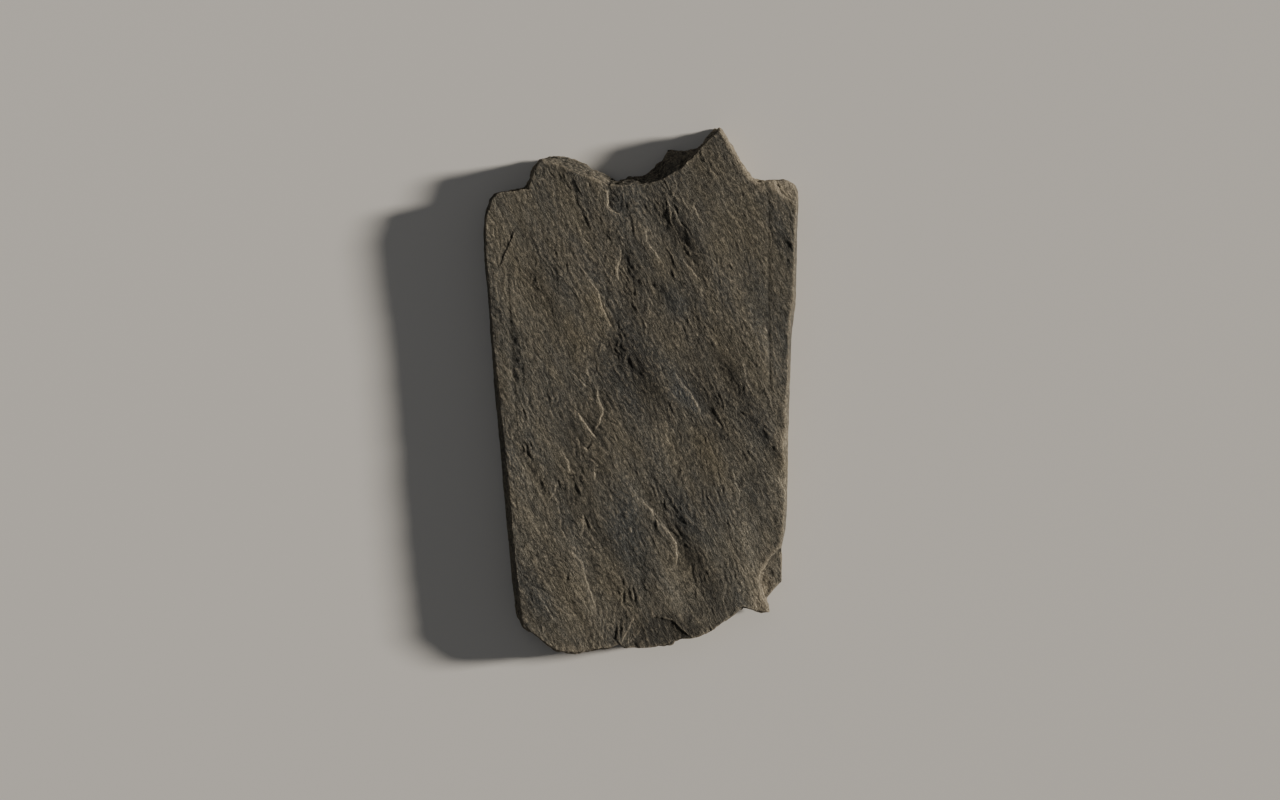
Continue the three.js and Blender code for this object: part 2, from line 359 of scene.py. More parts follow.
@dataclass(frozen=True)
class CutLine:
    """A shallow straight line cut into the face with a point, as part of its border."""

    line: tuple[tuple[float, float], ...]
    width: float = 7 * MM
    depth: float = 0.3 * MM
    fade_in: float = 30 * MM
    fade_out: float = 20 * MM

    def reading(self, points: np.ndarray) -> tuple[np.ndarray, np.ndarray]:
        """Where the points lie beside the cut.

        Args:
            points: Points in metres.

        Returns:
            Each point's distance to the right of the cut, and how much of the cut there is beside it.
        """
        path = np.array(self.line) * MM
        across = np.interp(points[:, 1], path[:, 1], path[:, 0])
        foot, head = path[0, 1], path[-1, 1]
        fade = ramp(points[:, 1], foot, foot + self.fade_in)
        return points[:, 0] - across, fade * ramp(points[:, 1], head, head - self.fade_out)

    def relief(self, points: np.ndarray) -> np.ndarray:
        """How far the cut lowers the face, in metres, at each point."""
        gap, fade = self.reading(points)
        return -self.depth * fade * np.exp(-((gap / (self.width / 2)) ** 2))

    @staticmethod
    def grooves(points: np.ndarray) -> np.ndarray:
        """How deep in the nearest cut the points lie.

        Args:
            points: Points in metres.

        Returns:
            A number for each point, from 0 outside the cut to 1 along its middle.
        """
        deep = np.zeros(len(points))
        for cut in CUT_LINES:
            gap, fade = cut.reading(points)
            deep = np.maximum(deep, fade * ramp(np.abs(gap), cut.width / 2, 0))
        return deep


@dataclass(frozen=True)
class Fold:
    """A long soft fold of the split face, in millimetres and degrees.

    Along its middle it tilts the face to the left of the slab, or to its right where tilt is negative.
    """

    at: tuple[float, float]
    length: float
    width: float
    tilt: float
    turn: float

    def relief(self, points: np.ndarray) -> np.ndarray:
        """How far the fold lifts or lowers the face.

        Args:
            points: Points in metres.

        Returns:
            A height in metres for each point.
        """
        turn = math.radians(self.turn)
        half = self.width / 2 * MM
        offset = points[:, :2] - np.array(self.at) * MM
        ahead = offset @ (math.cos(turn), math.sin(turn)) / (self.length / 2 * MM)
        side = offset @ (-math.sin(turn), math.cos(turn)) / half
        profile = np.tanh(side) * np.exp(-np.abs(side) / 3)
        return math.tan(math.radians(self.tilt)) * half * profile * np.exp(-(ahead**4))


FOLDS = (
    Fold((55, 239), 140, 26, 6, -48),
    Fold((-4, 30), 130, 40, 10, -53),
    Fold((-32, 86), 70, 24, 3, -84),
    Fold((-6, -26), 50, 14, 6, -25),
    Fold((148, 2), 110, 22, 8, -57),
    Fold((180, -58), 90, 20, 9, -58),
    Fold((201, -86), 66, 18, 6, -60),
    Fold((72, -238), 90, 26, 7, -66),
    Fold((95, -285), 90, 30, 9, -56),
    Fold((76, -43), 80, 20, 7, -48),
    Fold((-96, -60), 60, 18, 7, -76),
    Fold((-158, -113), 84, 18, 8, -58),
    Fold((-110, 76), 70, 14, 6, -63),
    Fold((-33, 288), 52, 20, 6, -70),
    Fold((-14, 190), 84, 20, 5, -70),
    Fold((38, 148), 54, 18, 5, -42),
    Fold((-66, -210), 96, 16, 7, -58),
    Fold((-30, -300), 84, 18, 4, -54),
    Fold((-43, -362), 56, 16, -9, -102),
    Fold((98, 92), 125, 24, 5, -63),
    Fold((-147, 140), 85, 20, 5, -62),
    Fold((20, 224), 100, 36, -12, -62),
    Fold((34, 84), 120, 36, -6, -58),
    Fold((-36, 188), 76, 20, -12, -80),
    Fold((-60, 135), 110, 16, -8, -68),
    Fold((-178, 130), 110, 34, -8, -58),
    Fold((140, 150), 96, 38, -8, -58),
    Fold((183, 78), 110, 44, -13, -65),
    Fold((204, -10), 80, 24, -6, -68),
    Fold((71, -4), 120, 26, -12, -49),
    Fold((-76, 30), 70, 18, -8, -62),
    Fold((-74, -130), 44, 10, -6, -75),
    Fold((-12, -140), 100, 20, -12, -56),
    Fold((-86, -275), 140, 30, -14, -74),
    Fold((50, -298), 100, 36, -14, -74),
    Fold((138, -155), 50, 14, -6, -62),
    Fold((164, -222), 80, 26, -13, -80),
    Fold((213, -150), 74, 28, -13, -75),
    Fold((88, -346), 52, 15, -7, -50),
    Fold((-150, -195), 80, 30, -8, -50),
    Fold((-186, -110), 80, 22, -8, -64),
    Fold((168, -290), 84, 28, -15, -84),
    Fold((152, -315), 60, 26, -8, -80),
    Fold((214, 272), 56, 26, -8, -62),
    Fold((66, 298), 60, 20, -8, -60),
    Fold((-100, 214), 70, 20, -6, -56),
    Fold((128, -70), 80, 20, 5, -52),
)

FLAKE_EDGES = (
    FlakeEdge(
        ((-64, 318), (-61, 305), (-50, 299), (-50, 278), (-44, 270), (-33, 267), (-28, 258)),
        0.9, 12, clear=1.0,
    ),
    FlakeEdge(((-34, 224), (-29, 208), (-34, 187), (-34, 163)), 1.3),
    FlakeEdge(((-85, 176), (-64, 149), (-58, 125), (-47, 101), (-41, 91)), 0.8, clear=0.9),
    FlakeEdge(((8, 248), (8, 224), (22, 208), (34, 187)), 1.0, 14, 2.0),
    FlakeEdge(((79, 283), (83, 269), (94, 250)), 1.5),
    FlakeEdge(((62, 197), (74, 184), (88, 167)), 1.5),
    FlakeEdge(((49, 200), (47, 173), (64, 160)), -0.5, clear=0.3),
    FlakeEdge(((-92, 272), (-74, 248)), -0.5, 9, 1.6, 0.1),
    FlakeEdge(((-188, 245), (-202, 211), (-215, 180)), -1.1, 6, clear=0.9),
    FlakeEdge(((29, 301), (53, 266), (67, 238)), 1.0, 9),
    FlakeEdge(((-103, -23), (-88, -43), (-68, -71)), 0.8, 9, clear=0.9),
    FlakeEdge(((-97, -64), (-92, -82), (-80, -88), (-68, -73)), 1.6, 7),
    FlakeEdge(((-106, 29), (-91, 16), (-80, 5)), 1.2),
    FlakeEdge(((-65, 8), (-64, -13), (-56, -29), (-61, -47), (-70, -61)), 1.7, 8),
    FlakeEdge(((-82, 35), (-77, 22)), 1.0),
    FlakeEdge(((49, 32), (59, 16), (74, -2), (88, -26), (91, -40)), 1.3, 13),
    FlakeEdge(((35, -61), (46, -85)), 0.9, 6),
    FlakeEdge(((-119, -85), (-109, -109), (-107, -125)), 1.4),
    FlakeEdge(((-127, -136), (-130, -154), (-140, -167)), 1.4),
    FlakeEdge(((-103, -122), (-98, -140), (-88, -160)), -0.6, clear=0.5),
    FlakeEdge(((-71, -112), (-68, -136)), 1.1),
    FlakeEdge(
        ((-29, -130), (-16, -140), (-2, -163), (16, -178), (22, -193), (40, -209), (53, -229), (55, -250),
         (52, -263), (53, -278)),
        0.8, 13, clear=0.7,
    ),
    FlakeEdge(((139, -133), (149, -151), (146, -167)), 1.3, 7),
    FlakeEdge(((124, -140), (125, -164)), -1.0, 7, clear=0.3),
    FlakeEdge(((205, -125), (218, -154), (221, -184)), 1.1, 9),
    FlakeEdge(((-50, -47), (-2, -106), (29, -140), (43, -157)), -0.6, 10, 2.0, 0.05),
    FlakeEdge(((-88, -188), (-86, -209), (-92, -220)), 1.2),
    FlakeEdge(
        ((-98, -226), (-103, -242), (-88, -257), (-83, -281), (-74, -305), (-64, -340)), 0.8, clear=0.8
    ),
    FlakeEdge(((-83, -220), (-71, -253), (-50, -278), (-16, -313)), -0.9, 12, 2.2, 0.1),
    FlakeEdge(((-154, -305), (-140, -326), (-127, -350)), 1.1),
    FlakeEdge(((-10, -338), (-13, -347), (-20, -360), (-27, -373), (-32, -384)), 0.9, 9, clear=1.0),
    FlakeEdge(((24, -336), (46, -342), (62, -356), (78, -369), (92, -376)), 1.0, 9, clear=0.0),
    FlakeEdge(((95, 371), (78, 352), (54, 332)), -1.0, 5, clear=0.9),
    FlakeEdge(((66, 347), (52, 336), (34, 328)), 0.8, 5, clear=0.5),
)

CUT_LINES = (
    CutLine(((-185, -59), (-190, -2), (-193, 67), (-199, 145), (-202, 188))),
    CutLine(((193, -8), (192, 111), (192, 214), (191, 301))),
)

FACE_PLATES = (
    Plates(seed=11, spacing=64 * MM, along=120 * MM, across=60 * MM, wander=1.6, step=0.9 * MM, edge=0.04),
    Plates(seed=13, spacing=80 * MM, along=90 * MM, across=50 * MM, wander=1.8, step=-0.3 * MM, edge=0.04),
    Plates(seed=23, spacing=19 * MM, along=46 * MM, across=20 * MM, wander=1.4, step=0.65 * MM),
    Plates(seed=27, spacing=11 * MM, along=34 * MM, across=12 * MM, wander=1.3, step=0.35 * MM, edge=0.2),
)

BACK_PLATES = Plates(
    seed=73, spacing=110 * MM, along=190 * MM, across=90 * MM, wander=1.6, step=0.9 * MM
)

FACE_RIPPLES = (
    Ripples(seed=29, along=150 * MM, across=52 * MM, height=0.8 * MM),
    Ripples(seed=31, along=60 * MM, across=24 * MM, height=0.65 * MM),
)

FACE_PEBBLES = (
    Pebbles(seed=37, along=24 * MM, across=9 * MM, height=0.85 * MM),
    Pebbles(seed=41, along=11 * MM, across=5 * MM, height=0.45 * MM),
)

WALL_RIPPLES = (
    Ripples(seed=53, along=42 * MM, across=30 * MM, height=1.2 * MM),
    Ripples(seed=59, along=13 * MM, across=10 * MM, height=1.0 * MM),
    Ripples(seed=61, along=6 * MM, across=5 * MM, height=0.55 * MM),
)


class Surface(Enum):
    """How a stretch of the slab's edge was made, with how rough that leaves it beside a fresh break."""

    BROKEN = 1.4
    DRESSED = 0.45


@dataclass(frozen=True)
class Bedding:
    """The beds of the schist, which end in ledges on every wall."""

    seed: int = 67
    bed: float = 5 * MM
    run: float = 34 * MM
    ledge: float = 0.6 * MM

    def relief(self, points: np.ndarray) -> np.ndarray:
        """How far each bed stands out of the wall, in metres, at each point."""
        cells = points / np.array((self.run, self.run, self.bed))
        return self.ledge * np.tanh(4 * StoneNoise(self.seed).at(cells))


@dataclass(frozen=True)
class Patch:
    """A soft-edged patch of the slab in millimetres and degrees, along the grain unless it is turned."""

    at: tuple[float, float]
    length: float
    width: float
    strength: float = 1.0
    turn: float = GRAIN.turn

    def share(self, points: np.ndarray) -> np.ndarray:
        """How much of the patch there is.

        Args:
            points: Points in metres.

        Returns:
            A number for each point, from 0 to the patch's strength.
        """
        cos, sin = math.cos(math.radians(self.turn)), math.sin(math.radians(self.turn))
        dx = points[:, 0] - self.at[0] * MM
        dy = points[:, 1] - self.at[1] * MM
        ahead = (dx * cos + dy * sin) / (self.length / 2 * MM)
        side = (dy * cos - dx * sin) / (self.width / 2 * MM)
        return self.strength * np.exp(-ahead * ahead - side * side)


BLUE_PATCHES = (
    Patch((48, 142), 60, 30),
    Patch((72, -8), 90, 34),
    Patch((-180, -12), 70, 40, 0.5),
    Patch((-20, -205), 110, 60, 0.8),
    Patch((66, -190), 90, 34, 0.7),
    Patch((10, 40), 130, 60, 0.5),
    Patch((-30, 280), 60, 40, 0.7),
    Patch((-150, -320), 60, 30, 0.6),
    Patch((190, -60), 120, 40, 0.4),
)

WARM_PATCHES = (
    Patch((-95, 85), 90, 50, 0.8),
    Patch((20, 0), 90, 40, 0.7),
    Patch((-62, 130), 60, 16, 1.0),
    Patch((100, -100), 110, 60, 0.7),
    Patch((215, -110), 70, 40, 0.8),
    Patch((40, 190), 70, 40, 0.6),
    Patch((-60, -290), 100, 60, 0.5),
    Patch((150, 230), 120, 70, 0.5),
)

FRESH_PATCHES = (
    Patch((212, 299), 44, 12, 1.0, -47),
    Patch((224, 308), 38, 34, 0.5, 0),
    Patch((-68, 318), 34, 24, 0.2, 0),
    Patch((184, -300), 96, 24, 1.0, 85),
    Patch((192, -330), 26, 26, 0.7, 0),
    Patch((141, 361), 120, 18, 1.0, -56),
    Patch((172, 318), 44, 22, 0.9, -30),
    Patch((37, 362), 24, 18, 0.7, 0),
    Patch((-85, -391), 120, 18, 0.35, 0),
    Patch((212, -64), 40, 24, 0.5, 90),
)

# Paler patches: partly worn stone and partly painted light where the face is brighter under the key light.
PALE_WEAR_AND_LIGHT_PATCHES = (
    Patch((130, -300), 240, 120, 1.0, 20),
    Patch((40, -318), 150, 60, 0.8, -20),
    Patch((-150, -230), 320, 90, 0.7, 95),
    Patch((170, -130), 240, 100, 1.0, 88),
    Patch((-190, 60), 420, 70, 0.8, 95),
    Patch((190, 190), 300, 70, 0.4, 88),
    Patch((-110, 250), 160, 110, 0.25),
    Patch((0, -280), 440, 200, 0.55, 0),
    Patch((30, -130), 160, 200, 0.4, 0),
)

# Painted shade: darker patches laid where the face lies in shade, in the long hollows, at the neck and in
# the foot's spall.
PAINTED_SHADE_PATCHES = (
    Patch((38, -367), 60, 124, 1.4, 90),
    Patch((40, 330), 40, 70, 0.6, 60),
    Patch((57, 240), 120, 30, 0.6, -47),
    Patch((165, -30), 130, 26, 0.6),
    Patch((0, 30), 150, 70, 0.8),
    Patch((100, -20), 130, 34, 0.5),
    Patch((88, -268), 130, 32, 0.85),
)

# Patches of colour by attribute name: blue and warm tones of the stone, paler patches that are partly wear
# and partly painted light, and patches of painted shade.
COLOUR_PATCHES = {
    "blue": BLUE_PATCHES,
    "warm": WARM_PATCHES,
    "worn": PALE_WEAR_AND_LIGHT_PATCHES,
    "painted_shade": PAINTED_SHADE_PATCHES,
}


class StoneMesh:
    """A mesh's points, links and normals as arrays, for work on all of them at once."""

    def __init__(self, mesh: bpy.types.Mesh) -> None:
        """Reads a mesh.

        Args:
            mesh: The mesh to read.
        """
        self.mesh = mesh
        count = len(mesh.vertices)
        self.points = np.empty(count * 3)
        mesh.vertices.foreach_get("co", self.points)
        self.points = self.points.reshape(-1, 3)
        links = np.empty(len(mesh.edges) * 2, dtype=np.int32)
        mesh.edges.foreach_get("vertices", links)
        self.links = links.reshape(-1, 2)
        self.valence = np.bincount(self.links.ravel(), minlength=count)

    def normals(self) -> np.ndarray:
        """The mesh's vertex normals.

        Returns:
            A row of three numbers for each point.
        """
        values = np.empty(len(self.points) * 3, dtype=np.float32)
        self.mesh.vertex_normals.foreach_get("vector", values)
        return values.reshape(-1, 3).astype(float)

    def around(self, values: np.ndarray) -> np.ndarray:
        """The mean of each point's neighbours.

        Args:
            values: A number, or a row of numbers, for each point.

        Returns:
            As many numbers for each point.
        """
        a, b = self.links.T
        columns = values.reshape(len(self.points), -1)
        means = [
            np.bincount(a, column[b], len(column)) + np.bincount(b, column[a], len(column))
            for column in columns.T
        ]
        return (np.stack(means, axis=1) / self.valence[:, None]).reshape(values.shape)

    def spread(self, values: np.ndarray, steps: int) -> np.ndarray:
        """The values, blurred along the mesh's links.

        Args:
            values: A number, or a row of numbers, for each point.
            steps: How many times they are blurred.

        Returns:
            As many numbers for each point.
        """
        for _ in range(steps):
            values = (values + self.around(values)) / 2
        return values

    def write(self) -> None:
        """Puts the points back into the mesh."""
        self.mesh.vertices.foreach_set("co", self.points.ravel())
        self.mesh.update()

    def keep(self, name: str, values: np.ndarray) -> None:
        """Keeps a number for each point as an attribute of the mesh.

        Args:
            name: The attribute's name.
            values: A number for each point.
        """
        layer = self.mesh.attributes.new(name, "FLOAT", "POINT")
        layer.data.foreach_set("value", values.astype(np.float32))


@dataclass
class StoneSlab:
    """The slab itself: its solid's form, with the relief of split, dressed and broken schist."""

    node: str = "stele_slab"
    slot: str = "schist"
    name: str = "carved_slab"
    voxel: float = 1.5 * MM
    triangles: int = 196_000
    facet_steps: int = 26
    uneven_seed: int = 97
    uneven_size: float = 75 * MM
    chip_seed: int = 71
    chip: float = 1.3 * MM
    chip_sizes: tuple[float, float] = (16 * MM, 5 * MM)
    rim_seed: int = 101
    rim: float = 2.1 * MM
    rim_size: float = 55 * MM
    rim_steps: int = 12
    rim_end: float = -260 * MM
    rim_fade: float = 30 * MM
    neck_start: float = 305 * MM
    foot_end: float = -318 * MM
    end_fade: float = 12 * MM
    bump_full: float = 0.25 * MM
    swell_full: float = 1.2 * MM

    def build(self) -> bpy.types.Object:
        """Makes the finished piece.

        Returns:
            The slab's object, with its mesh and its attributes.
        """
        slab = self.blank()
        self.applied(slab, "REMESH", mode="VOXEL", voxel_size=self.voxel)
        self.carve(StoneMesh(slab.data))
        count = sum(len(p.vertices) - 2 for p in slab.data.polygons)
        self.applied(slab, "DECIMATE", ratio=self.triangles / count)
        self.settle(slab)
        self.mark(StoneMesh(slab.data))
        return slab

    def blank(self) -> bpy.types.Object:
        """A copy of the solid, with its loose triangles joined.

        Returns:
            The copy, linked to the scene.
        """
        solid = bmesh.new()
        solid.from_mesh(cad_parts[self.node].data)
        bmesh.ops.remove_doubles(solid, verts=solid.verts, dist=0.01 * MM)
        mesh = bpy.data.meshes.new(self.name)
        solid.to_mesh(mesh)
        solid.free()
        slab = bpy.data.objects.new(self.name, mesh)
        bpy.context.scene.collection.objects.link(slab)
        return slab

    def applied(self, slab: bpy.types.Object, kind: str, **settings: float | str) -> None:
        """Runs one modifier over the slab and keeps what it gives.

        Args:
            slab: The object.
            kind: The modifier's type.
            settings: The modifier's settings.
        """
        modifier = slab.modifiers.new(kind.lower(), kind)
        for key, value in settings.items():
            setattr(modifier, key, value)
        graph = bpy.context.evaluated_depsgraph_get()
        made = bpy.data.meshes.new_from_object(slab.evaluated_get(graph))
        slab.modifiers.clear()
        old, slab.data = slab.data, made
        bpy.data.meshes.remove(old)
        made.name = self.name

    def ease_facets(self, stone: StoneMesh) -> None:
        """Smooths the facets of the solid's face away, and leaves what is near a step or an arris alone.

        Args:
            stone: The slab's mesh.
        """
        facing = stone.normals()[:, 2]
        steep = stone.spread(1.0 - np.abs(facing), 10)
        calm = ramp(steep, 0.05, 0.015) * (facing > 0)
        for _ in range(self.facet_steps):
            stone.points += calm[:, None] * (stone.around(stone.points) - stone.points)
        stone.write()

    def carve(self, stone: StoneMesh) -> None:
        """Gives the remeshed solid its relief.

        Args:
            stone: The slab's mesh.
        """
        top = stone.points[:, 2].max()
        self.ease_facets(stone)

        # Each of these is 1 where the mesh belongs to what it is named for, and fades to 0 around it.
        normals = stone.normals()
        up = ramp(normals[:, 2], 0.55, 0.92)
        down = ramp(normals[:, 2], -0.7, -0.95)
        wall = 1 - ramp(np.abs(normals[:, 2]), 0.5, 0.9)
        arris = stone.spread(wall, 3)
        arris = ramp(4 * arris * (1 - arris), 0.3, 1.0) * (stone.points[:, 2] > top / 4)
        start = stone.points.copy()
        rim = stone.spread(wall * np.clip(normals[:, 0], 0, 1) * (start[:, 2] > top / 4), self.rim_steps)
        high = ramp(start[:, 2], 0.4 * top, 0.85 * top)
        deep = ramp(stone.spread(wall, 4), 0.55, 0.9)

        stone.points[:, 2] += up * self.face_relief(start, top)
        stone.points[:, 2] += high * (self.folding(start) - self.worn_rim(start, rim))
        stone.points += (wall * deep * self.wall_relief(start))[:, None] * normals
        stone.points -= (arris * self.chipping(start))[:, None] * normals
        stone.points[:, 2] += down * self.back_relief(start)
        stone.points[:, 2] = np.maximum(stone.points[:, 2], 0)
        stone.write()

    def face_relief(self, points: np.ndarray, top: float) -> np.ndarray:
        """The relief of the split face.

        Args:
            points: The points that the relief is worked out for.
            top: The height of the slab's highest point.

        Returns:
            How far the face stands out at each point.
        """
        ragged = points
        for wander in FACE_WANDERS:
            ragged = wander.shifted(ragged)
        near, flat = EDGE_WANDER.shifted(points) * LEVEL, ragged * LEVEL
        total = sum(part.relief(flat) for part in FACE_PLATES + FACE_RIPPLES)
        uneven = 1 + 0.9 * StoneNoise(self.uneven_seed).at(flat / self.uneven_size)
        total = total + uneven * sum(part.relief(flat) for part in FACE_PEBBLES)

        # What lies lower than this is a break: it is rougher, and has no flake edges and no cuts.
        split = ramp(points[:, 2], top - 10 * MM, top - 6 * MM)
        total = total + split * sum(edge.relief(near) for edge in FLAKE_EDGES)
        total = total + split * sum(cut.relief(points) for cut in CUT_LINES)
        rough = sum(part.relief(points) for part in WALL_RIPPLES)
        return total + 0.6 * (1 - split) * rough

    def folding(self, points: np.ndarray) -> np.ndarray:
        """How far the folds lift or lower the face and the tops of the walls at each point."""
        near = EDGE_WANDER.shifted(points)
        return sum(fold.relief(near) for fold in FOLDS)

    def roughness(self, points: np.ndarray) -> np.ndarray:
        """How rough the slab's edge is: as dressed on its sides, and as broken at both ends.

        Args:
            points: Points in metres.

        Returns:
            A Surface's number for each point, or one between two of them.
        """
        neck = ramp(points[:, 1], self.neck_start - self.end_fade, self.neck_start)
        broken = np.maximum(neck, ramp(points[:, 1], self.foot_end + self.end_fade, self.foot_end))
        return Surface.DRESSED.value + (Surface.BROKEN.value - Surface.DRESSED.value) * broken

    def wall_relief(self, points: np.ndarray) -> np.ndarray:
        """The relief of the walls: the ledges of the beds, and the roughness of the break."""
        rough = sum(part.relief(points) for part in WALL_RIPPLES)
        return self.roughness(points) * (rough + Bedding().relief(points) - 0.6 * MM)

    def chipping(self, points: np.ndarray) -> np.ndarray:
        """How much has chipped off the arrises.

        Args:
            points: Points in metres.

        Returns:
            A depth in metres for each point.
        """
        noise = StoneNoise(self.chip_seed)
        large = ramp(noise.at(points / self.chip_sizes[0]), 0.1, 0.5)
        small = ramp(noise.at(points / self.chip_sizes[1]), 0.0, 0.5)
        return self.chip * (large + 0.4 * small)

    def worn_rim(self, points: np.ndarray, rim: np.ndarray) -> np.ndarray:
        """How far the face is worn down beside the walls on its right.

        Args:
            points: The points that it is worked out for.
            rim: How near those walls are, from 0 to about a half at the arris.

        Returns:
            How much lower the face is at each point.
        """
        worn = 1 + 1.6 * StoneNoise(self.rim_seed).at(points / self.rim_size)
        above = ramp(points[:, 1], self.rim_end, self.rim_end + self.rim_fade)
        return self.rim * above * np.clip(worn, 0.25, 1.6) * ramp(rim, 0.01, 0.5)

    def back_relief(self, points: np.ndarray) -> np.ndarray:
        """The relief of the split back: low plates, none of them below the ground that it lies on."""
        return 0.5 * BACK_PLATES.step + BACK_PLATES.relief(points * (1, -1, 0))

    def settle(self, slab: bpy.types.Object) -> None:
        """Makes the thinned mesh one closed skin of smooth-shaded triangles.

        Args:
            slab: The slab's object.
        """
        skin = bmesh.new()
        skin.from_mesh(slab.data)
        bmesh.ops.triangulate(skin, faces=skin.faces)
        bmesh.ops.dissolve_degenerate(skin, edges=skin.edges, dist=0.02 * MM)
        bmesh.ops.triangulate(skin, faces=skin.faces)
        for face in skin.faces:
            face.smooth = True
        skin.to_mesh(slab.data)
        skin.free()

    def mark(self, stone: StoneMesh) -> None:
        """Keeps what the finish needs to know of each point: hollows, wear, breaks and patches of colour,
        among them painted light and shade.

        Args:
            stone: The slab's finished mesh.
        """
        normals = stone.normals()
        # How far each point stands out of its neighbours, at a small and a broad size: the finish paints
        # the hollows darker and what stands out paler with these, partly as dirt and wear and partly as
        # painted shade and highlight.
        for name, steps, full in (("stands_out", 2, self.bump_full), ("swells", 14, self.swell_full)):
            proud = np.einsum("ij,ij->i", stone.points - stone.spread(stone.points, steps), normals)
            stone.keep(name, np.clip(proud / full, -1, 1) * 0.5 + 0.5)

        # The walls are painted a little paler than the face: partly fresher stone, more so at both broken
        # ends, and partly painted light, most on the walls on the right that face the key light.
        ragged = PATCH_WANDER.shifted(stone.points)
        fresh = sum(patch.share(ragged) for patch in FRESH_PATCHES)
        wall = 1 - ramp(np.abs(normals[:, 2]), 0.45, 0.85)
        least, most = Surface.DRESSED.value, Surface.BROKEN.value
        ends = (self.roughness(stone.points) - least) / (most - least)
        right = ramp(normals[:, 0], 0.1, 0.7)
        stone.keep("fresh", np.clip(fresh + wall * (0.03 + 0.04 * ends + 0.06 * right), 0, 1))

        # The risers' mask: the finish bumps them, paints a highlight along those that face the right of the
        # slab and paints shade along those that face the left.
        gaps, clear = FlakeEdge.risers(EDGE_WANDER.shifted(stone.points))
        stone.keep("riser_gap", gaps)
        stone.keep("riser", clear * ramp(normals[:, 2], 0.3, 0.6))
        stone.keep("groove", CutLine.grooves(CUT_WANDER.shifted(stone.points)))
        for name, patches in COLOUR_PATCHES.items():
            stone.keep(name, np.clip(sum(patch.share(ragged) for patch in patches), 0, 1))


class NodeBench:
    """A material's node tree, and the one way that nodes are added to it."""

    def __init__(self, name: str) -> None:
        """Starts a material with an output node alone.

        Args:
            name: The material's name.
        """
        self.material = bpy.data.materials.new(name)
        self.material.use_nodes = True
        self.tree = self.material.node_tree
        self.tree.nodes.clear()

    def add(self, kind: str, inputs: dict | tuple = (), **settings: object) -> bpy.types.Node:
        """Adds a node.

        Args:
            kind: The node's type.
            inputs: For each input's name or number, the socket that feeds it or the value it is set to. A
                tuple gives the first inputs in order.
            settings: The node's own settings.

        Returns:
            The node.
        """
        node = self.tree.nodes.new(kind)
        for key, value in settings.items():
            setattr(node, key, value)
        given = inputs if isinstance(inputs, dict) else dict(enumerate(inputs))
        for key, value in given.items():
            if isinstance(value, Socket):
                self.tree.links.new(value, node.inputs[key])
            else:
                node.inputs[key].default_value = value
        return node


class SchistColour(Enum):
    """The stone's colours, from the dirt and painted shade of its hollows to the fresh stone of a break,
    with painted highlights among them.
    """

    PAINTED_SHADE_AND_DIRT = "#2a2824"
    BLUE = "#42484c"
    BODY = "#56534b"
    WARM = "#625a46"
    PALE = "#726d60"
    FRESH_STONE_AND_HIGHLIGHT = "#948a77"
    RISER_HIGHLIGHT = "#958a75"


@dataclass(frozen=True)
class Tone:
    """A colour laid over those before it: none of it where a pattern is at start, the most at full.

    The breakup, where there is one, is a noise that is added to the pattern and makes its edges uneven.
    """

    colour: SchistColour
    pattern: str
    start: float
    full: float
    most: float
    breakup: str = ""


SCHIST_TONES = (
    Tone(SchistColour.PALE, "cloud", 0.3, 0.75, 0.6),
    # Paler patches under the worn attribute: partly wear and partly painted light.
    Tone(SchistColour.PALE, "worn", 0.5, 1.4, 0.75, "tint"),
    Tone(SchistColour.BLUE, "tint", 0.52, 0.32, 0.45),
    Tone(SchistColour.WARM, "tint", 0.5, 0.7, 0.4),
    Tone(SchistColour.BLUE, "blue", 0.5, 1.4, 0.75, "cloud"),
    Tone(SchistColour.WARM, "warm", 0.5, 1.4, 0.6, "cloud"),
    # Fresh breaks, and the walls' paler colour, which is partly painted light on the walls that face the
    # key light.
    Tone(SchistColour.FRESH_STONE_AND_HIGHLIGHT, "fresh", 0.5, 1.4, 0.9, "grain"),
    # Painted shade: the darker patches where the face lies in shade.
    Tone(SchistColour.PAINTED_SHADE_AND_DIRT, "painted_shade", 0.5, 1.4, 0.6, "cloud"),
    # Darker in the small hollows: dirt and painted shade.
    Tone(SchistColour.PAINTED_SHADE_AND_DIRT, "stands_out", 0.5, 0.1, 0.55),
    # Paler on what stands out: wear and painted highlight.
    Tone(SchistColour.FRESH_STONE_AND_HIGHLIGHT, "stands_out", 0.55, 1.0, 0.5),
    # Darker in the broad hollows: dirt and painted shade.
    Tone(SchistColour.PAINTED_SHADE_AND_DIRT, "swells", 0.5, 0.0, 0.3),
    # The risers' lines: a painted highlight where a riser faces the right of the slab, painted shade where
    # it faces the left.
    Tone(SchistColour.RISER_HIGHLIGHT, "line", 0, 1, 1),
    Tone(SchistColour.PAINTED_SHADE_AND_DIRT, "line", 0, -1, 0.9),
)


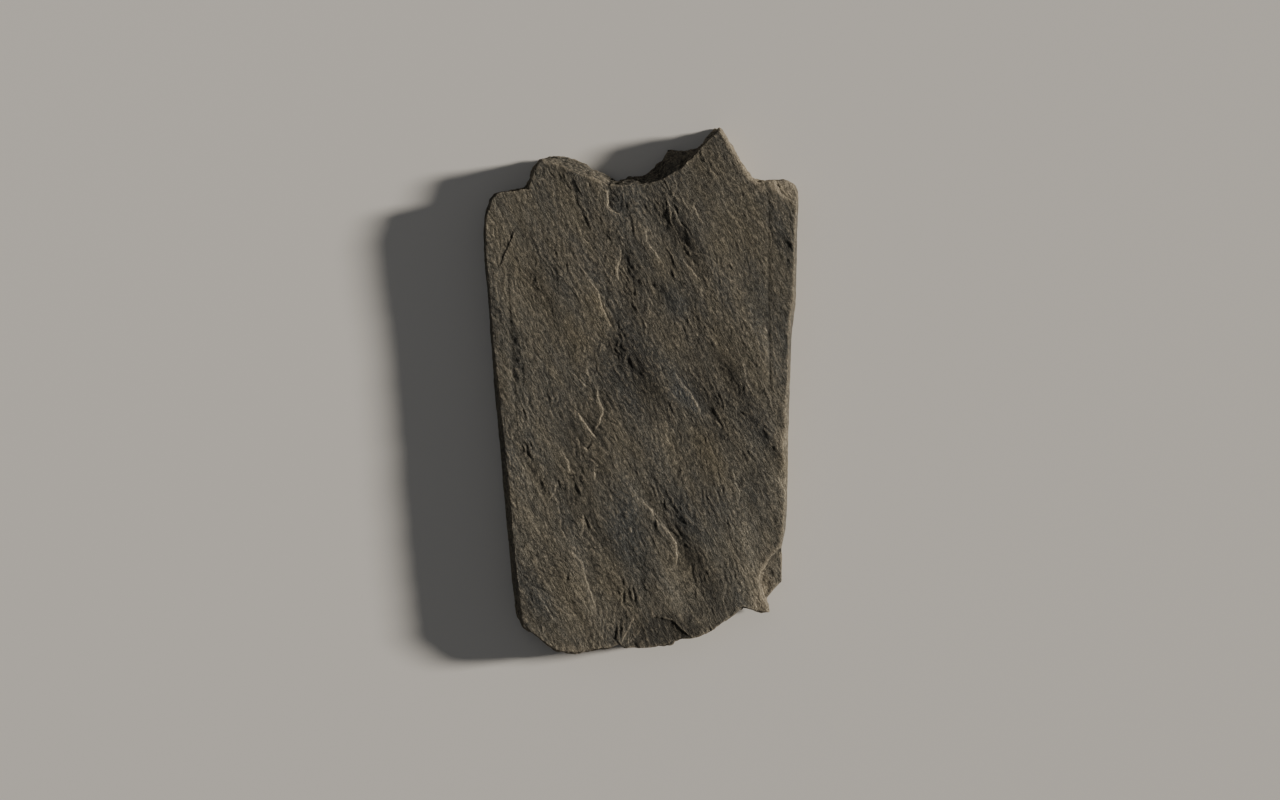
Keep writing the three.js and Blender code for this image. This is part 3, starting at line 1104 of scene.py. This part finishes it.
@dataclass(frozen=True)
class SplitSchist:
    """Grey-brown schist, split by hand and long weathered: matt, with a fine diagonal grain.

    Mica and clay make it grey to olive brown, with cooler blue-grey where the face is least stained. What
    stands out is painted paler and the hollows darker, partly as the wear of rain and handling and the dirt
    of the hollows and partly as painted highlight and shade; patches of painted shade, and paler patches
    that are partly wear and partly painted light, lie over the face, and the flakes' risers carry painted
    highlight and shade lines. A fresh break is paler and yellower.
    It has next to no gloss, so it is the raking light that draws its grain and the edges of its flakes.
    """

    # Quartz and mica refract light about as glass does, and weathering has left them dull.
    ior: float = 1.5
    roughness: float = 0.86
    specular: float = 0.3

    # The real grains and mica flakes are 0.1 to 1 mm across, too fine for the picture, so the grit, the
    # grain and the small flakes are drawn a few times coarser.
    grit: float = 2.0 * MM
    grain_long: float = 9 * MM
    grain_wide: float = 2.5 * MM
    flake_long: float = 17 * MM
    flake_wide: float = 5 * MM
    cloud: float = 60 * MM
    tint: float = 42 * MM

    grit_relief: float = 1.5 * MM
    flake_relief: float = 2.0 * MM
    grain_relief: float = 4.4 * MM
    riser_relief: float = 1.0 * MM
    cut_relief: float = 0.9 * MM

    MARKS = (*COLOUR_PATCHES, "fresh", "stands_out", "swells", "riser", "riser_gap", "groove")

    def material(self) -> bpy.types.Material:
        """Makes the material.

        Returns:
            The material, which reads Object coordinates and the slab's attributes.
        """
        bench = NodeBench("split_schist")
        place = bench.add("ShaderNodeTexCoord").outputs["Object"]
        turned = bench.add(
            "ShaderNodeMapping", {"Vector": place, "Rotation": (0, 0, -GRAIN.angle)}
        ).outputs["Vector"]
        patterns = self.noises(bench, place, turned)
        for name in self.MARKS:
            patterns[name] = bench.add("ShaderNodeAttribute", attribute_name=name).outputs["Fac"]
        self.draw_risers(bench, patterns)
        shader = bench.add(
            "ShaderNodeBsdfPrincipled",
            {
                "Base Color": self.coloured(bench, patterns),
                "Roughness": self.roughness,
                "IOR": self.ior,
                "Specular IOR Level": self.specular,
                "Normal": self.roughened(bench, patterns, self.flakes(bench, turned)),
            },
        )
        bench.add("ShaderNodeOutputMaterial", {"Surface": shader.outputs["BSDF"]})
        return bench.material

    def noises(self, bench: NodeBench, place: Socket, turned: Socket) -> Patterns:
        """The stone's own unevenness, from its grit to its clouds of colour.

        Args:
            bench: The material's bench.
            place: Object coordinates.
            turned: Object coordinates, turned so that X runs along the grain.

        Returns:
            Each noise's socket, by its name.
        """
        add = bench.add
        stretch = self.grain_wide / self.grain_long
        grained = add("ShaderNodeMapping", {"Vector": turned, "Scale": (stretch, 1, 1)}).outputs["Vector"]
        patterns = {}
        for name, cells, size, detail, roughness, distortion in (
            ("grain", grained, self.grain_wide, 4.0, 0.75, 0.7),
            ("grit", place, self.grit, 2.0, 0.7, 0.0),
            ("cloud", grained, self.cloud, 5.0, 0.62, 0.0),
            ("tint", grained, self.tint, 4.0, 0.6, 0.0),
        ):
            inputs = {"Vector": cells, "Scale": 1 / size, "Detail": detail}
            inputs |= {"Roughness": roughness, "Distortion": distortion}
            patterns[name] = add("ShaderNodeTexNoise", inputs).outputs["Fac"]
        return patterns

    def draw_risers(self, bench: NodeBench, patterns: Patterns) -> None:
        """Adds the thin jagged line of each flake's riser to the patterns, which the finish paints as a
        highlight where the riser faces the right of the slab and as shade where it faces the left.

        Args:
            bench: The material's bench.
            patterns: The patterns by name. They gain "beside", the distance from the jagged riser in
                millimetres, and "line", which is below 0 where the riser faces the left of the slab.
        """
        add = bench.add
        # The grain's noise, from 0 to 1, moves the line to and fro by a few millimetres.
        jag, middle = 6.0, 3.2
        jagged = add(
            "ShaderNodeMath", (patterns["grain"], jag, patterns["riser_gap"]), operation="MULTIPLY_ADD"
        ).outputs["Value"]
        beside = add("ShaderNodeMath", (jagged, middle), operation="SUBTRACT").outputs["Value"]
        away = add("ShaderNodeMath", (beside,), operation="ABSOLUTE").outputs["Value"]
        line = add("ShaderNodeMapRange", (away, 1.0, 0.3, 0, 1)).outputs["Result"]
        chipped = add("ShaderNodeMapRange", (patterns["grit"], 0.4, 0.62, 0, 1)).outputs["Result"]
        faint = add("ShaderNodeMapRange", (patterns["tint"], 0.42, 0.52, 0.25, 1)).outputs["Result"]
        for share in (chipped, faint, patterns["riser"]):
            line = add("ShaderNodeMath", (line, share), operation="MULTIPLY").outputs["Value"]
        patterns["beside"] = beside
        patterns["line"] = line

    def coloured(self, bench: NodeBench, patterns: Patterns) -> Socket:
        """The stone's colour: its tones one over another, some of them painted light and shade, and then
        the specks of its grit and grain.

        Args:
            bench: The material's bench.
            patterns: The patterns by name.

        Returns:
            The socket with the colour.
        """
        add = bench.add
        colour = linear(SchistColour.BODY.value)
        for tone in SCHIST_TONES:
            value = patterns[tone.pattern]
            if tone.breakup:
                summed = add("ShaderNodeMath", (value, patterns[tone.breakup]), operation="ADD")
                value = summed.outputs["Value"]
            share = add("ShaderNodeMapRange", (value, tone.start, tone.full, 0, tone.most))
            inputs = {"Factor": share.outputs["Result"], 6: colour, 7: linear(tone.colour.value)}
            colour = add("ShaderNodeMix", inputs, data_type="RGBA").outputs[2]
        for name, darkest, palest in (("grit", 0.62, 1.38), ("grain", 0.5, 1.5)):
            speck = add("ShaderNodeMapRange", (patterns[name], 0.33, 0.67, darkest, palest))
            specked = add("ShaderNodeVectorMath", (colour, speck.outputs["Result"]), operation="MULTIPLY")
            colour = specked.outputs["Vector"]
        return colour

    def roughened(self, bench: NodeBench, patterns: Patterns, flake: Socket) -> Socket:
        """The finest relief: grit, small flakes, the grain, the flakes' risers and the cut lines.

        Args:
            bench: The material's bench.
            patterns: The patterns by name.
            flake: The height of each small flake.

        Returns:
            The socket with the bent normal.
        """
        add = bench.add
        strength = add("ShaderNodeMapRange", (patterns["tint"], 0.35, 0.65, 1.35, 0.65))
        uneven = (patterns["grain"], strength.outputs["Result"])
        grain = add("ShaderNodeMath", uneven, operation="MULTIPLY")
        fall = add("ShaderNodeMapRange", (patterns["beside"], -0.7, 0.7, 1, 0))
        drop = add("ShaderNodeMath", (fall.outputs["Result"], patterns["riser"]), operation="MULTIPLY")
        cut = add("ShaderNodeMapRange", (patterns["groove"], 0, 1, 1, 0))
        below = {}
        for height, relief in (
            (patterns["grit"], self.grit_relief),
            (flake, self.flake_relief),
            (grain.outputs["Value"], self.grain_relief),
            (drop.outputs["Value"], self.riser_relief),
            (cut.outputs["Result"], self.cut_relief),
        ):
            inputs = {"Height": height, "Strength": 1.0, "Distance": relief}
            normal = add("ShaderNodeBump", inputs | below).outputs["Normal"]
            below = {"Normal": normal}
        return normal

    def flakes(self, bench: NodeBench, turned: Socket) -> Socket:
        """The small flakes of the split face, each at a height of its own.

        Args:
            bench: The material's bench.
            turned: Object coordinates, turned so that X runs along the grain.

        Returns:
            The socket with each flake's height, from 0 to 1.
        """
        add = bench.add
        stretch, reach = self.flake_wide / self.flake_long, 1.6 * self.flake_wide
        ragged = add(
            "ShaderNodeTexNoise",
            {"Vector": turned, "Scale": 1 / self.flake_long, "Detail": 3.0, "Roughness": 0.7},
        ).outputs["Color"]
        middle = add("ShaderNodeVectorMath", (ragged, (0.5, 0.5, 0.5)), operation="SUBTRACT")
        inputs = {"Vector": middle.outputs["Vector"], "Scale": reach}
        shift = add("ShaderNodeVectorMath", inputs, operation="SCALE")
        moved = add("ShaderNodeVectorMath", (turned, shift.outputs["Vector"]), operation="ADD")
        drawn = add("ShaderNodeMapping", {"Vector": moved.outputs["Vector"], "Scale": (stretch, 1, 1)})
        inputs = {"Vector": drawn.outputs["Vector"], "Scale": 1 / self.flake_wide}
        cells = add("ShaderNodeTexVoronoi", inputs)
        return add("ShaderNodeSeparateColor", {"Color": cells.outputs["Color"]}).outputs["Red"]


@dataclass(frozen=True)
class PaleFloor:
    """A plain matt floor that runs past the edges of the view."""

    size: float = 60.0
    colour: str = "#e2dfd9"
    roughness: float = 0.9

    def build(self) -> bpy.types.Object:
        """Makes the floor.

        Returns:
            The floor's object.
        """
        sheet = bmesh.new()
        bmesh.ops.create_grid(sheet, x_segments=4, y_segments=4, size=self.size / 2)
        mesh = bpy.data.meshes.new("floor")
        sheet.to_mesh(mesh)
        sheet.free()
        bench = NodeBench("pale_floor")
        shader = bench.add(
            "ShaderNodeBsdfPrincipled", {"Base Color": linear(self.colour), "Roughness": self.roughness}
        )
        bench.add("ShaderNodeOutputMaterial", {"Surface": shader.outputs["BSDF"]})
        mesh.materials.append(bench.material)
        floor = bpy.data.objects.new("floor", mesh)
        bpy.context.scene.collection.objects.link(floor)
        return floor


class Lamp(Enum):
    """The kinds of studio light: one so far off that it lights the floor evenly, and one near by."""

    FAR = "SUN"
    NEAR = "AREA"


@dataclass(frozen=True)
class SoftLight:
    """A soft studio light that points at the slab.

    Its strength is in watts per square metre for a far light and in watts for a near one, and its width is
    how wide it looks from the slab, in degrees.
    """

    name: str
    lamp: Lamp
    azimuth: float
    elevation: float
    width: float
    strength: float
    colour: str = "#ffffff"
    distance: float = 3.0

    def build(self) -> None:
        """Hangs the light."""
        lamp = bpy.data.lights.new(self.name, self.lamp.value)
        width = math.radians(self.width)
        if self.lamp is Lamp.FAR:
            lamp.angle = width
        else:
            lamp.size = 2 * self.distance * math.tan(width / 2)
        lamp.energy = self.strength
        lamp.color = linear(self.colour)[:3]
        light = bpy.data.objects.new(self.name, lamp)
        turn, lift = math.radians(self.azimuth), math.radians(self.elevation)
        away = Vector((math.cos(turn) * math.cos(lift), math.sin(turn) * math.cos(lift), math.sin(lift)))
        light.location = away * self.distance
        light.rotation_euler = away.to_track_quat("Z", "Y").to_euler()
        light.visible_camera = False
        bpy.context.scene.collection.objects.link(light)


@dataclass(frozen=True)
class PhotoCamera:
    """A long lens straight above the slab, so that the picture has the photograph's scale and framing."""

    picture: tuple[int, int] = (1280, 800)
    pixel: float = 1.5 * MM
    aim: tuple[float, float] = (-1.4 * MM, -13.6 * MM)
    distance: float = 4.0
    sensor: float = 36.0

    def build(self) -> None:
        """Sets the camera up and makes it the scene's own."""
        lens = bpy.data.cameras.new("camera")
        lens.sensor_width = self.sensor
        lens.lens = lens.sensor_width * self.distance / (self.picture[0] * self.pixel)
        camera = bpy.data.objects.new("camera", lens)
        camera.location = (*self.aim, cad_box[1].z + self.distance)
        bpy.context.scene.collection.objects.link(camera)
        bpy.context.scene.camera = camera


@dataclass(frozen=True)
class Studio:
    """The pale floor, the raking key light from the right, and the soft light that fills the shade."""

    floor: PaleFloor = PaleFloor()
    lights: tuple[SoftLight, ...] = (
        SoftLight("key", Lamp.FAR, azimuth=8, elevation=17, width=7, strength=5.75, colour="#fff8ee"),
        SoftLight("fill", Lamp.NEAR, azimuth=150, elevation=60, width=44, strength=4, colour="#f2f6ff"),
    )
    sky: float = 0.08

    def build(self) -> None:
        """Sets up the floor, the lights and the camera."""
        self.floor.build()
        for light in self.lights:
            light.build()
        world = bpy.data.worlds.new("studio")
        world.use_nodes = True
        backdrop = world.node_tree.nodes["Background"]
        backdrop.inputs["Color"].default_value = (1, 1, 1, 1)
        backdrop.inputs["Strength"].default_value = self.sky
        bpy.context.scene.world = world
        PhotoCamera().build()


def main() -> None:
    """Builds the studio and the slab."""
    logging.basicConfig(level=logging.INFO, format="%(name)s: %(message)s")
    Studio().build()
    log.info("studio set up")
    stele = StoneSlab()
    slab = stele.build()
    slab.data.materials.clear()
    slab.data.materials.append(SplitSchist().material())
    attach(slab, "root")
    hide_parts(stele.node)
    log.info("%s: %d triangles", slab.name, len(slab.data.polygons))


if __name__ == "__main__":
    main()
